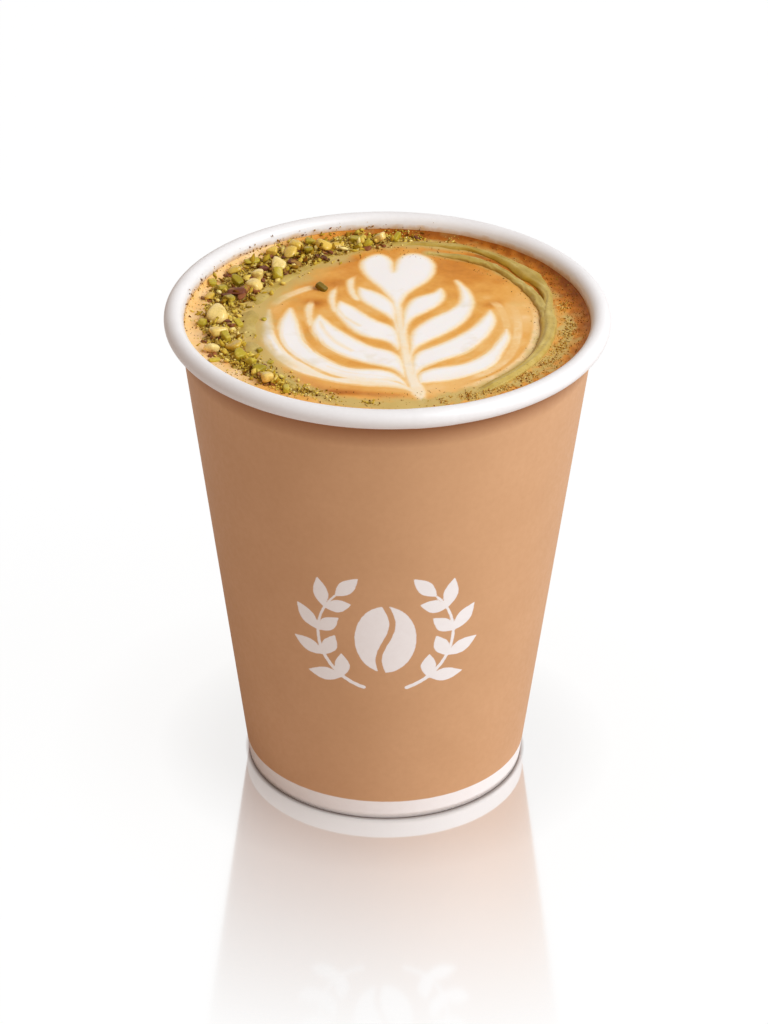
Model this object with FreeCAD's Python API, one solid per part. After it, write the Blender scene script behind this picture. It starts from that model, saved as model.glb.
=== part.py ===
"""Pistachio latte in a rolled-rim double-wall paper cup.

Six pieces, each one solid and one STEP file: the inner cup, its bottom disc, the outer wrap,
the drink, the ring of pistachio cream in its foam, and the crescent of chopped pistachios.
Millimetres, +Z up, with the origin at the middle of the foot, on the floor.
"""

import FreeCAD, Part
import math
import os

from FreeCAD import Rotation, Vector

# Cup, over all
cup_height = 92.3  # floor to the top of the rolled rim
rim_diameter = 80.0  # over the rolled rim
foot_diameter = 49.4  # over the inner cup's wall, where it meets the floor

# Inner cup: one sheet of paper, rolled outwards at the rim and folded inwards at the foot
cup_paper = 0.35
curl_diameter = 3.54  # over the rolled rim's tube
curl_end = -125.0  # where the roll stops, in degrees round its tube from straight outwards
side_lap = 7.0  # width over which the sheet's two ends overlap, on the drink's side
side_lap_turn = 12.0  # how far the lap stands round from the front, in degrees

# Bottom disc: a second sheet, its skirt held in the inner cup's fold
disc_paper = 0.35
disc_recess = 6.4  # floor to the underside of the disc
disc_bend = 0.4  # inner radius of the bend from disc to skirt
hem_stop = 1.6  # from the underside of the disc down to the end of the folded hem
foot_press = 0.06  # how much of the fold's round underside is pressed flat on the floor
glue_line = 0.03  # between sheets that are glued or sealed together
lap_bite = 0.08  # how deep a lap goes into its own sheet, so that they are one solid

# Outer wrap: a third sheet, round the inner cup with air between them
wrap_paper = 0.32
wrap_gap = 0.30
wrap_foot = 0.4  # floor to the wrap's lower edge
wrap_clearance = 0.08  # between the wrap's upper edge and the rolled rim
wrap_lap = 8.0  # width of the wrap's glued overlap
wrap_lap_turn = 180.0  # the overlap is at the back

# Drink
drink_drop = 3.2  # top of the rim down to the level
drink_clearance = 0.02  # between the drink and the paper
meniscus_width = 1.8
meniscus_rise = 1.0

# Pistachio cream: a ribbon poured in a ring, with an inner strand that branches off at the right.
# Middle line and width are given every 30 degrees, anticlockwise from the right.
ring_from_wall = [7.2, 4.2, 3.1, 5.2, 9.1, 11.1, 11.4, 9.6, 6.0, 5.9, 6.6, 7.4]
ring_width = [3.2, 3.4, 3.4, 3.0, 3.6, 4.2, 4.4, 4.2, 3.6, 3.0, 2.6, 2.8]
ring_height = 0.8  # above the level
ring_depth = 0.35  # below it
strand_angles = [4.0, 19.0, 35.0, 50.0, 63.0, 76.0]
strand_from_wall = [7.6, 7.4, 6.9, 7.2, 7.6, 7.8]
strand_width = [2.2, 2.0, 1.9, 1.8, 1.5, 0.8]
strand_height = 0.6
strand_depth = 0.25
ribbon_step = 10.0  # between the sections that shape the cream, in degrees

# Chopped pistachios: a crescent along the wall, on the cream, widest at the left
heap_from_wall = 2.6  # to the crescent's outer edge
heap_width = 9.5  # at its widest
heap_middle = 164.0  # direction of the widest place, in degrees anticlockwise from the right
heap_half_span = 78.0  # from there round to each tip, in degrees
bed_height = 0.9
bed_slope = 0.5  # how far the bed's edges lean in over its height
nut_count = 72  # places tried, of which those with room get a piece
nut_size = 3.0  # a typical piece, across
nut_spread = 0.3  # share by which pieces are larger or smaller
nut_flatness = 0.7  # a piece's height over its width
nut_taper = 0.45  # least width of a piece's smaller face, over its larger one's
nut_skew = 0.2  # how far the smaller face is shifted, over half the piece's width
nut_tilt = 25.0  # how far a piece may lean, in degrees
nut_lift = 0.6  # from the level up to the middle of a piece
plastic_number = 1.3247  # its powers scatter places and sizes evenly

# The inner cup's outer face is a straight slope from the foot that touches the inside of the roll
curl_radius = curl_diameter / 2
curl_inside = curl_radius - cup_paper
curl_r = rim_diameter / 2 - curl_radius
curl_z = cup_height - curl_radius
foot_r = foot_diameter / 2
reach = math.hypot(curl_r - foot_r, curl_z)
lean = math.atan2(curl_r - foot_r, curl_z) - math.asin(curl_inside / reach)
curl_up = (curl_r - foot_r) * math.sin(lean) + curl_z * math.cos(lean)

# The fold at the foot goes round the skirt, and its pressed underside stands on the floor
pocket_radius = disc_paper / 2 + glue_line
fold_radius = pocket_radius + cup_paper
fold_up = (fold_radius * (1 - math.sin(lean)) - foot_press) / math.cos(lean)
disc_top = disc_recess + disc_paper

# The drink's level, and the radius of the wall there
level = cup_height - drink_drop
surface_r = foot_r + level * math.tan(lean) - (cup_paper + drink_clearance) / math.cos(lean)


def sloped(up, out):
    """Point of the half section, as r and z: a distance up the inner cup's outer face from the
    floor, and a distance square to that face, outwards."""
    r = foot_r + up * math.sin(lean) + out * math.cos(lean)
    z = up * math.cos(lean) - out * math.sin(lean)
    return r, z


def up_at(z, out):
    """Distance up the slope at which the line at this distance from it reaches height z."""
    return (z + out * math.sin(lean)) / math.cos(lean)


def round_point(centre, radius, degrees):
    """Point of a circle in the half section."""
    a = math.radians(degrees)
    return centre[0] + radius * math.cos(a), centre[1] + radius * math.sin(a)


def line(a, b):
    """Straight edge of the half section."""
    return Part.LineSegment(Vector(a[0], 0, a[1]), Vector(b[0], 0, b[1])).toShape()


def arc(centre, radius, start, end):
    """Round edge of the half section, between two directions in degrees."""
    points = [round_point(centre, radius, d) for d in (start, (start + end) / 2, end)]
    return Part.Arc(*[Vector(r, 0, z) for r, z in points]).toShape()


def turned(edges):
    """Solid turned round the cup's axis from a closed half section."""
    face = Part.Face(Part.Wire(edges))
    return face.revolve(Vector(0, 0, 0), Vector(0, 0, 1), 360)


def sheet(inner, outer, start, end):
    """Conical sheet between two distances out from the slope, and two distances up it."""
    corners = [sloped(start, inner), sloped(start, outer), sloped(end, outer), sloped(end, inner)]
    return turned([line(corners[i - 1], corners[i]) for i in range(4)])


def lap_of(ring, width, turn):
    """The strip of a conical sheet that an overlap covers, turned in degrees from the front."""
    strip = Part.makeBox(width, rim_diameter, cup_height, Vector(-width / 2, -rim_diameter, 0))
    strip.rotate(Vector(0, 0, 0), Vector(0, 0, 1), turn)
    return ring.common(strip)


def make_inner_cup():
    """Side wall with its rolled rim, the fold round the skirt, the hem and the side lap."""
    curl = (curl_r, curl_z)
    fold = sloped(fold_up, -fold_radius)
    slope = math.degrees(lean)
    hem_up = up_at(disc_recess - hem_stop, -fold_radius)
    hem_out = -2 * fold_radius
    hem_in = hem_out + cup_paper
    pressed = math.degrees(math.acos(1 - foot_press / fold_radius))
    edges = [
        line(sloped(fold_up, -cup_paper), sloped(curl_up, -cup_paper)),
        arc(curl, curl_radius, 180 - slope, curl_end),
        line(round_point(curl, curl_radius, curl_end), round_point(curl, curl_inside, curl_end)),
        arc(curl, curl_inside, curl_end, 180 - slope),
        line(sloped(curl_up, 0), sloped(fold_up, 0)),
        arc(fold, fold_radius, -slope, -90 + pressed),
        line(
            round_point(fold, fold_radius, -90 + pressed),
            round_point(fold, fold_radius, -90 - pressed),
        ),
        arc(fold, fold_radius, -90 - pressed, -180 - slope),
        line(sloped(fold_up, hem_out), sloped(hem_up, hem_out)),
        line(sloped(hem_up, hem_out), sloped(hem_up, hem_in)),
        line(sloped(hem_up, hem_in), sloped(fold_up, hem_in)),
        arc(fold, pocket_radius, -180 - slope, -slope),
    ]
    doubled = sheet(-2 * cup_paper, lap_bite - cup_paper, up_at(disc_top + disc_bend, 0), curl_up)
    return turned(edges).fuse(lap_of(doubled, side_lap, side_lap_turn))


def make_bottom_disc():
    """Flat disc with a bend and a skirt that runs down into the fold."""
    skirt_out = -fold_radius + disc_paper / 2
    skirt_in = skirt_out - disc_paper
    slope = math.degrees(lean)
    bend_z = disc_recess - disc_bend
    bend = sloped(up_at(bend_z, skirt_in - disc_bend), skirt_in - disc_bend)
    outside = disc_bend + disc_paper
    edges = [
        line((0, disc_recess), (0, disc_top)),
        line((0, disc_top), (bend[0], disc_top)),
        arc(bend, outside, 90, -slope),
        line(round_point(bend, outside, -slope), sloped(fold_up, skirt_out)),
        line(sloped(fold_up, skirt_out), sloped(fold_up, skirt_in)),
        line(sloped(fold_up, skirt_in), round_point(bend, disc_bend, -slope)),
        arc(bend, disc_bend, -slope, 90),
        line((bend[0], disc_recess), (0, disc_recess)),
    ]
    return turned(edges)


def wrap_top(out):
    """How far up the slope a face at this distance from it may go, clear of the rolled rim."""
    aside = max(0.0, curl_inside - out)
    return curl_up - math.sqrt((curl_radius + wrap_clearance) ** 2 - aside**2)


def make_outer_wrap():
    """Conical sheet from just above the floor to just under the rolled rim, lapped at the back."""
    outer = wrap_gap + wrap_paper
    start = up_at(wrap_foot, outer)
    wall = sheet(wrap_gap, outer, start, wrap_top(outer))
    lapped = outer + wrap_paper
    doubled = sheet(outer - lap_bite, lapped, up_at(wrap_foot, lapped), wrap_top(lapped))
    return wall.fuse(lap_of(doubled, wrap_lap, wrap_lap_turn))


def lens(middle, across, width, height, depth):
    """Closed section of a ribbon: an arc above the level and a flatter one below it."""
    left = middle - across * (width / 2)
    right = middle + across * (width / 2)
    above = Part.Arc(left, middle + Vector(0, 0, height), right)
    below = Part.Arc(right, middle - Vector(0, 0, depth), left)
    return Part.Wire([above.toShape(), below.toShape()])


def smooth(angles, radii, closed):
    """Smooth curve through points at given angles and radii, with the angles as its parameters."""
    points = []
    for degrees, radius in zip(angles, radii):
        a = math.radians(degrees)
        points.append(Vector(radius * math.cos(a), radius * math.sin(a), 0))
    curve = Part.BSplineCurve()
    knots = angles + [angles[0] + 360.0] if closed else angles
    curve.interpolate(Points=points, PeriodicFlag=closed, Parameters=knots)
    return curve


def ribbon(angles, from_wall, widths, height, depth, closed):
    """Ribbon on the level, lofted through sections along a smooth curve. Its middle line and its
    width are given at a few angles, and its sections stand closer together than those."""
    path = smooth(angles, [surface_r - margin for margin in from_wall], closed)
    broad = smooth(angles, widths, closed)
    turn = 360.0 if closed else angles[-1] - angles[0]
    steps = round(turn / ribbon_step)
    sections = []
    for i in range(steps if closed else steps + 1):
        degrees = angles[0] + turn * i / steps
        width = broad.value(degrees).Length
        across = Vector(0, 0, 1).cross(path.tangent(degrees)[0])
        middle = path.value(degrees) + Vector(0, 0, level)
        share = math.sqrt(width / max(widths))
        sections.append(lens(middle, across, width, height * share, depth * share))
    return Part.makeLoft(sections, True, False, closed)


def make_pistachio_cream():
    """The ring and its inner strand, one poured piece."""
    around = [30.0 * i for i in range(len(ring_from_wall))]
    ring = ribbon(around, ring_from_wall, ring_width, ring_height, ring_depth, True)
    strand = ribbon(
        strand_angles, strand_from_wall, strand_width, strand_height, strand_depth, False
    )
    return ring.fuse(strand)


def make_latte(cup, cream):
    """Drink up to the level, with the foam's climb at the wall, round the lap and the cream."""
    wall = -cup_paper - drink_clearance
    bottom_z = disc_top + drink_clearance
    bottom = sloped(up_at(bottom_z, wall), wall)
    edge = sloped(up_at(level + meniscus_rise, wall), wall)
    flat_r = surface_r - meniscus_width
    climb = edge[0] - flat_r
    bend = (climb**2 + meniscus_rise**2) / (2 * meniscus_rise)
    steep = math.degrees(math.asin(climb / bend)) - 90
    edges = [
        line((0, bottom_z), bottom),
        line(bottom, edge),
        arc((flat_r, level + bend), bend, steep, -90),
        line((flat_r, level), (0, level)),
        line((0, level), (0, bottom_z)),
    ]
    return turned(edges).cut(cup).cut(cream)


def share_of(index, choice):
    """Evenly scattered share from 0 to 1 for a numbered piece, a different one for each choice."""
    return (index * plastic_number**-choice) % 1.0


def nut(index):
    """One chopped piece about the origin: a block with a smaller, shifted face, tumbled."""
    half = nut_size / 2 * (1 + nut_spread * (2 * share_of(index, 3) - 1))
    low = half * nut_flatness
    shift = half * nut_skew * (2 * share_of(index, 4) - 1)
    far = half * (nut_taper + (1 - nut_taper) * share_of(index, 5))
    piece = Part.makeWedge(
        -half, -half, -low, shift - low, shift - far, half, half, low, shift + low, shift + far
    )
    lean_one = nut_tilt * (2 * share_of(index, 6) - 1)
    lean_other = nut_tilt * (2 * share_of(index, 7) - 1)
    turn = Rotation(360 * share_of(index, 8), lean_one, lean_other)
    piece.Placement = FreeCAD.Placement(Vector(0, 0, 0), turn)
    return piece


def make_chopped_pistachio(cream):
    """Crescent bed with tumbled pieces all over it, flat underneath and clear of the cream."""
    outer_r = surface_r - heap_from_wall
    least_r = outer_r - heap_width
    tip = math.cos(math.radians(heap_half_span))
    # The inner edge is a circle through both tips and the inner end of the widest place
    shift = (outer_r**2 - least_r**2) / (2 * (least_r - outer_r * tip))
    inner_r = least_r + shift
    middle = math.radians(heap_middle)
    inner_centre = Vector(-shift * math.cos(middle), -shift * math.sin(middle), level)
    bed = Part.makeCone(outer_r, outer_r - bed_slope, bed_height, Vector(0, 0, level))
    bed = bed.cut(Part.makeCone(inner_r, inner_r + bed_slope, bed_height, inner_centre))
    nuts = []
    for index in range(1, nut_count + 1):
        aside = math.radians(heap_half_span) * (2 * share_of(index, 1) - 1)
        edge_r = math.sqrt(inner_r**2 - (shift * math.sin(aside)) ** 2) - shift * math.cos(aside)
        room = outer_r - edge_r - nut_size
        if room > 0:
            r = edge_r + nut_size / 2 + room * share_of(index, 2)
            angle = middle + aside
            piece = nut(index)
            piece.translate(Vector(r * math.cos(angle), r * math.sin(angle), level + nut_lift))
            nuts.append(piece)
    below = Part.makeCylinder(outer_r + nut_size, nut_size, Vector(0, 0, level - nut_size))
    return bed.multiFuse(nuts).cut(below).cut(cream)


def main():
    os.makedirs("parts", exist_ok=True)
    cup = make_inner_cup()
    cream = make_pistachio_cream()
    pieces = {
        "inner_cup": cup,
        "bottom_disc": make_bottom_disc(),
        "outer_wrap": make_outer_wrap(),
        "latte": make_latte(cup, cream),
        "pistachio_cream": cream,
        "chopped_pistachio": make_chopped_pistachio(cream),
    }
    for name, shape in pieces.items():
        shape.exportStep("parts/" + name + ".step")
        print(name, len(shape.Solids), "solid", shape.isValid(), round(shape.Volume, 1), "mm3")


main()
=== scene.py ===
"""Looks of a pistachio latte in its rolled-rim paper cup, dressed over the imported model."""

import math

import bpy
import numpy as np
from mathutils import Matrix, Vector


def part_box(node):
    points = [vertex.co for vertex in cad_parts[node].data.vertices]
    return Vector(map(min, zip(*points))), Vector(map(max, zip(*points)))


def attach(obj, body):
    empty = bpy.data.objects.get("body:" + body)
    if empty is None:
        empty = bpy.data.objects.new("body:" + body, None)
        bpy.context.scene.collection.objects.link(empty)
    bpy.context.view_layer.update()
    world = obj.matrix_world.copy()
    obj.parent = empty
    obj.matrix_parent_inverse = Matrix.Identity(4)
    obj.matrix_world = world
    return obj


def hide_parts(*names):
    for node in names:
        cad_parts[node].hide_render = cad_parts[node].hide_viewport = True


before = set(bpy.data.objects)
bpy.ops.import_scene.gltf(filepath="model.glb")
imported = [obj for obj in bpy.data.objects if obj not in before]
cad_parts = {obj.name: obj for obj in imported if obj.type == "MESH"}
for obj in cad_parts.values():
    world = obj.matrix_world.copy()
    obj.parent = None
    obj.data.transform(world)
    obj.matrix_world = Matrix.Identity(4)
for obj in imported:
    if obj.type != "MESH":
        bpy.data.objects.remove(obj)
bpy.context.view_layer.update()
mm = 0.001

# Paper cup. One sheet of white coated paper, rolled outwards at the rim and folded inwards at
# the foot round the disc's skirt. Its ends overlap on the drink's side, just right of the front,
# and the doubled paper runs on through the roll as a slight swelling.
cup_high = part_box("inner_cup")[1]
rim_radius = cup_high.x
cup_height = cup_high.z
foot_radius = 24.7 * mm
paper = 0.35 * mm
curl_radius = 1.77 * mm
curl_play = 0.03 * mm  # how far the roll may swell out before it reaches the full size
curl_end = math.radians(-125)
disc_paper = 0.35 * mm
disc_underside = 6.4 * mm
hem_end = disc_underside - 1.6 * mm
foot_press = 0.06 * mm
glue_line = 0.03 * mm
side_lap = 7 * mm
side_lap_angle = math.radians(-90 + 12)
lap_edge = 0.25 * mm
drink_level = cup_height - 3.2 * mm
meniscus_rise = 1.0 * mm

curl_inside = curl_radius - paper
curl_r = rim_radius - curl_radius
curl_z = cup_height - curl_radius
lean = math.atan2(curl_r - foot_radius, curl_z)
lean -= math.asin(curl_inside / math.hypot(curl_r - foot_radius, curl_z))
curl_up = (curl_r - foot_radius) * math.sin(lean) + curl_z * math.cos(lean)
pocket_radius = disc_paper / 2 + glue_line
fold_radius = pocket_radius + paper
fold_up = (fold_radius * (1 - math.sin(lean)) - foot_press) / math.cos(lean)


def on_slope(up, out):
    """Half-section points r, z: a distance up the cup's outer face, and one square to it."""
    up, out = np.broadcast_arrays(np.asarray(up, float), out)
    r = foot_radius + up * math.sin(lean) + out * math.cos(lean)
    return np.stack([r, up * math.cos(lean) - out * math.sin(lean)], -1)


def bow(centre, radius, start, end, count):
    """Half-section points on a circle, evenly spaced between two directions in radians."""
    a = np.linspace(start, end, count)
    return np.stack([centre[0] + radius * np.cos(a), centre[1] + radius * np.sin(a)], -1)


def grid_faces(rows, columns, wrap_rows=False, wrap_columns=False):
    """Quads of a grid numbered row by row: each joins a point, the next one along the row and
    the two beside them in the next row. A wrapped direction joins its last line to its first."""
    i = np.arange(rows if wrap_rows else rows - 1)[:, None]
    j = np.arange(columns if wrap_columns else columns - 1)[None, :]
    below, beside = (i + 1) % rows * columns, (j + 1) % columns
    quads = [i * columns + j, i * columns + beside, below + beside, below + j]
    return np.stack(quads, -1).reshape(-1, 4)


def make_piece(name, points, face_sets, values=()):
    """Mesh object on the origin from whole arrays: points in metres, sets of quads or triangles
    that face outwards, and named numbers that are kept at the points for the material."""
    mesh = bpy.data.meshes.new(name)
    corners = np.concatenate([np.ravel(faces) for faces in face_sets])
    sizes = np.concatenate([np.full(len(faces), faces.shape[1]) for faces in face_sets])
    mesh.vertices.add(len(points))
    mesh.vertices.foreach_set("co", np.ravel(points).astype(np.float32))
    mesh.loops.add(len(corners))
    mesh.loops.foreach_set("vertex_index", corners.astype(np.int32))
    mesh.polygons.add(len(sizes))
    mesh.polygons.foreach_set("loop_start", (np.cumsum(sizes) - sizes).astype(np.int32))
    mesh.polygons.foreach_set("use_smooth", np.ones(len(sizes), bool))
    mesh.update(calc_edges=True)
    for key, numbers in dict(values).items():
        kept = mesh.attributes.new(key, "FLOAT", "POINT")
        kept.data.foreach_set("value", np.ravel(numbers).astype(np.float32))
    piece = bpy.data.objects.new(name, mesh)
    bpy.context.scene.collection.objects.link(piece)
    return piece


def turned(section, angles):
    """Points of a half section carried round the axis: one row of the grid per section point,
    with r and z of each row the same all round or given at every angle."""
    r, z = section[..., 0], section[..., 1]
    x, y = r * np.cos(angles), r * np.sin(angles)
    return np.stack([x, y, np.broadcast_to(z, x.shape)], -1).reshape(-1, 3)


def rise(x, start, end):
    """Smooth step from 0 at start to 1 at end."""
    t = np.clip((x - start) / (end - start), 0, 1)
    return t * t * (3 - 2 * t)


def cup_section():
    """The cup's closed half section: up the drink's side, over the roll and down inside it, down
    the outer face, round the fold, up and down the hem and back round the skirt's pocket. Also
    gives each point's share of the lap's thickness and of the roll."""
    curl, fold = (curl_r, curl_z), on_slope(fold_up, -fold_radius)
    pressed = math.acos(1 - foot_press / fold_radius)
    hem_up = (hem_end - fold_radius * math.sin(lean)) / math.cos(lean)
    low_climb = np.linspace(fold_up, curl_up * 0.9, 12)
    climb = np.concatenate([low_climb, np.linspace(curl_up * 0.91, curl_up, 14)])
    steps = [
        (on_slope(climb, -paper), 1, 0),
        (bow(curl, curl_radius, math.pi - lean, curl_end, 44)[1:], 0, 1),
        (bow(curl, curl_inside, curl_end, math.pi - lean, 26), 0, 1),
        (on_slope(np.linspace(curl_up, fold_up, 8), 0), 0, 0),
        (bow(fold, fold_radius, -lean, -math.pi / 2 + pressed, 6)[1:], 0, 0),
        (bow(fold, fold_radius, -math.pi / 2 - pressed, -math.pi - lean, 6), 0, 0),
        (on_slope(np.array([hem_up]), -2 * fold_radius), 0, 0),
        (on_slope(np.array([hem_up, fold_up]), paper - 2 * fold_radius), 0, 0),
        (bow(fold, pocket_radius, -math.pi - lean, -lean, 8)[1:-1], 0, 0),
    ]
    section = np.concatenate([points for points, _, _ in steps])
    lapped = np.concatenate([np.full(len(points), share) for points, share, _ in steps])
    rolled = np.concatenate([np.full(len(points), share) for points, _, share in steps])
    return section, lapped, rolled


def make_paper_cup():
    """Section turned round the axis. Inside the lap the drink's side stands in by a paper, and
    the roll's radius grows a little there and wavers by a few hundredths elsewhere."""
    angles = np.linspace(0, 2 * math.pi, 512, endpoint=False)
    section, lapped, rolled = cup_section()
    aside = (angles - side_lap_angle + math.pi) % (2 * math.pi) - math.pi
    across = np.abs(aside)[None, :] * section[:, :1]
    lap = 1 - rise(across, side_lap / 2 - lap_edge, side_lap / 2 + lap_edge)
    held = np.repeat(section[:, None, :], len(angles), axis=1)
    high = rise(section[:, 1], disc_underside + disc_paper, disc_underside + 3 * mm)
    inwards = (lapped * high)[:, None] * lap * paper
    held[..., 0] -= inwards * math.cos(lean)
    held[..., 1] += inwards * math.sin(lean)
    waver = 0.5 * np.sin(5 * angles + 1) + 0.3 * np.sin(9 * angles + 4) + 0.2 * np.sin(17 * angles)
    swell = curl_play * (lap + (0.4 * waver - 1.2)[None, :]) / curl_radius
    centre = np.array([curl_r, curl_z])
    held += (held - centre) * (rolled[:, None] * np.minimum(swell, 0))[..., None]
    outside = np.repeat(lapped, len(angles))
    faces = grid_faces(len(section), len(angles), True, True)[:, ::-1]
    return make_piece("paper_cup", turned(held, angles), [faces], {"drink_side": outside})


def shade(red, green, blue):
    """Linear colour from a display colour in parts of 255."""
    c = np.array([red, green, blue]) / 255
    linear = np.where(c <= 0.04045, c / 12.92, ((c + 0.055) / 1.055) ** 2.4)
    return (*linear.tolist(), 1.0)


def add(tree, kind, inputs=(), **settings):
    """New shader node. Each input is linked if a socket is given, and set if a value is."""
    node = tree.nodes.new("ShaderNode" + kind)
    for key, value in settings.items():
        setattr(node, key, value)
    for key, value in dict(inputs).items():
        if isinstance(value, bpy.types.NodeSocket):
            tree.links.new(value, node.inputs[key])
        else:
            node.inputs[key].default_value = value
    return node


def ramp(tree, factor, stops):
    """Colour Ramp output through stops, each a place and a display colour in parts of 255."""
    node = add(tree, "ValToRGB", {"Fac": factor})
    elements = node.color_ramp.elements
    while len(elements) < len(stops):
        elements.new(0.5)
    for element, (place, *colour) in zip(elements, stops):
        element.position = place
        element.color = shade(*colour)
    return node.outputs["Color"]


def spread(tree, value, low, high, to_low=0.0, to_high=1.0):
    """Map Range output, held at its two ends."""
    inputs = {"Value": value, "From Min": low, "From Max": high, "To Min": to_low, "To Max": to_high}
    return add(tree, "MapRange", inputs).outputs["Result"]


def blended(tree, factor, first, second):
    """Mix Color output of two colours, each a socket or a colour."""
    node = add(tree, "Mix", data_type="RGBA")
    for place, value in ((0, factor), (6, first), (7, second)):
        if isinstance(value, bpy.types.NodeSocket):
            tree.links.new(value, node.inputs[place])
        else:
            node.inputs[place].default_value = value
    return node.outputs[2]


def sums(tree, how, first, second):
    """Math output of two numbers, each a socket or a number."""
    return add(tree, "Math", {0: first, 1: second}, operation=how).outputs[0]


def kept_value(tree, key):
    """The number kept at the mesh's points under this name."""
    return add(tree, "Attribute", attribute_name=key).outputs["Fac"]


def noise_on(tree, place, scale, detail, roughness=0.5):
    """Noise output at a scale per metre."""
    inputs = {"Vector": place, "Scale": scale, "Detail": detail, "Roughness": roughness}
    return add(tree, "TexNoise", inputs).outputs["Fac"]


def stirred(tree, value, noise, amount):
    """A number made uneven by a noise, up to about this much either way."""
    return sums(tree, "ADD", value, spread(tree, noise, 0.25, 0.75, -amount, amount))


def new_material(name, **sockets):
    """Material with a Principled shader whose sockets take these values, with their spaces as
    underscores. Returns it with its tree, shader and Object coordinates."""
    material = bpy.data.materials.new(name)
    material.use_nodes = True
    tree = material.node_tree
    shader = tree.nodes["Principled BSDF"]
    for key, value in sockets.items():
        shader.inputs[key.replace("_", " ")].default_value = value
    place = add(tree, "TexCoord").outputs["Object"]
    return material, tree, shader, place


def bump(tree, shader, height, depth, strength):
    """Bump of this depth in metres into the shader's normal."""
    inputs = {"Height": height, "Distance": depth, "Strength": strength}
    tree.links.new(add(tree, "Bump", inputs).outputs["Normal"], shader.inputs["Normal"])


def white_paper_material(name, stained):
    """Coated white paper: faint fibre in colour and gloss, and where the drink's side is marked,
    a thin coffee film that runs out above the foam."""
    material, tree, shader, place = new_material(name, Roughness=0.4)
    fibre = noise_on(tree, place, 1400, 3)
    cloud = noise_on(tree, place, 120, 2)
    white = blended(tree, fibre, shade(236, 231, 228), shade(243, 239, 236))
    white = blended(tree, spread(tree, cloud, 0.35, 0.7, 0, 0.35), white, shade(229, 223, 219))
    if stained:
        height = add(tree, "SeparateXYZ", {0: place}).outputs[2]
        uneven = sums(tree, "MULTIPLY", noise_on(tree, place, 420, 3), 1.6 * mm)
        above = sums(tree, "SUBTRACT", height, uneven)
        film = spread(tree, above, drink_level + 0.1 * mm, drink_level + 1.0 * mm, 0.8, 0)
        film = sums(tree, "MULTIPLY", film, kept_value(tree, "drink_side"))
        white = blended(tree, film, white, shade(212, 166, 104))
    tree.links.new(white, shader.inputs["Base Color"])
    tree.links.new(spread(tree, fibre, 0.3, 0.7, 0.34, 0.46), shader.inputs["Roughness"])
    bump(tree, shader, fibre, 0.012 * mm, 0.5)
    return material


paper_cup = make_paper_cup()
paper_cup.data.materials.append(white_paper_material("white coated paper", True))
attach(paper_cup, "root")
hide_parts("inner_cup")

# Bottom disc. A second sheet of the same paper, pressed into the foot with its skirt in the
# cup's fold. It keeps its solid and gets the paper's own finish.
bottom_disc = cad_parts["bottom_disc"]
bottom_disc.data.materials.clear()
bottom_disc.data.materials.append(white_paper_material("white disc paper", False))

# Printed wrap. A sheet of white board, printed warm brown down to a bare band at the foot,
# rolled once round the cup with air behind it and glued over its own end at the back. On the
# front the print leaves out a plain coffee bean between two sprigs.
wrap_foot = 0.12 * mm
wrap_paper = 0.32 * mm
wrap_gap = 0.30 * mm
wrap_lap = 8 * mm
wrap_seam = math.pi / 2
band_top = 3.9 * mm
# Heights over which a painted shadow under the rolled rim deepens the ink
painted_rim_shadow = (83.8 * mm, 88.2 * mm)
motif_height = 41 * mm
motif_half = 21 * mm
motif_scale = 1.35
motif_reach = (21, 19)  # to each side and up or down, in millimetres
leaf_width = 2.1
leaf_belly = 0.45  # share of the leaf's length at which it is widest
sprig_radius = 9.2
sprig_ends = (-72, 42)  # degrees up from level
sprig_pairs = (-52, -26, 0, 26)


def smooth_line(points, steps, closed=False):
    """Natural or closed cubic spline through points: its second derivatives solve the usual
    equations over the chord lengths, and each span is sampled evenly."""
    p = np.asarray(points, float)
    if closed:
        p = np.vstack([p[-3:], p, p[:4]])
    gap = np.linalg.norm(np.diff(p, axis=0), axis=1)
    n = len(p)
    system, right = np.eye(n), np.zeros((n, 2))
    k = np.arange(1, n - 1)
    system[k, k - 1], system[k, k], system[k, k + 1] = gap[:-1], 2 * (gap[:-1] + gap[1:]), gap[1:]
    slope = np.diff(p, axis=0) / gap[:, None]
    right[1:-1] = 6 * np.diff(slope, axis=0)
    bend = np.linalg.solve(system, right)
    t = (np.arange(steps) / steps)[None, :, None]
    h = gap[:, None, None]
    a, b, ma, mb = p[:-1, None], p[1:, None], bend[:-1, None], bend[1:, None]
    curve = (1 - t) * a + t * b
    curve = curve + h**2 / 6 * (((1 - t) ** 3 - (1 - t)) * ma + (t**3 - t) * mb)
    if closed:
        return curve[3:-3].reshape(-1, 2)[: (len(p) - 7) * steps]
    return np.vstack([curve.reshape(-1, 2), p[-1:]])


def line_distance(x, y, line):
    """Distance of each place from an open line of points, and the share along it of the nearest
    place: the least over its segments of the distance to the segment."""
    a, b = line[:-1], line[1:]
    along = b - a
    size = np.maximum((along**2).sum(1), 1e-12)
    travelled = np.concatenate([[0], np.cumsum(np.sqrt(size))])
    nearest = np.full(x.shape, np.inf)
    share = np.zeros(x.shape)
    for k in range(len(a)):
        t = np.clip(((x - a[k, 0]) * along[k, 0] + (y - a[k, 1]) * along[k, 1]) / size[k], 0, 1)
        away = np.hypot(x - a[k, 0] - t * along[k, 0], y - a[k, 1] - t * along[k, 1])
        better = away < nearest
        share = np.where(better, travelled[k] + t * (travelled[k + 1] - travelled[k]), share)
        nearest = np.where(better, away, nearest)
    return nearest, share / travelled[-1]


def inside_distance(x, y, outline):
    """Distance to a closed outline, positive inside: the sign by how many edges a ray crosses."""
    ring = np.vstack([outline, outline[:1]])
    away = line_distance(x, y, ring)[0]
    inside = np.zeros(x.shape, bool)
    for (ax, ay), (bx, by) in zip(ring[:-1], ring[1:]):
        crosses = (ay > y) != (by > y)
        inside ^= crosses & (x < (bx - ax) * (y - ay) / (by - ay + 1e-12) + ax)
    return np.where(inside, away, -away)


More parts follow.
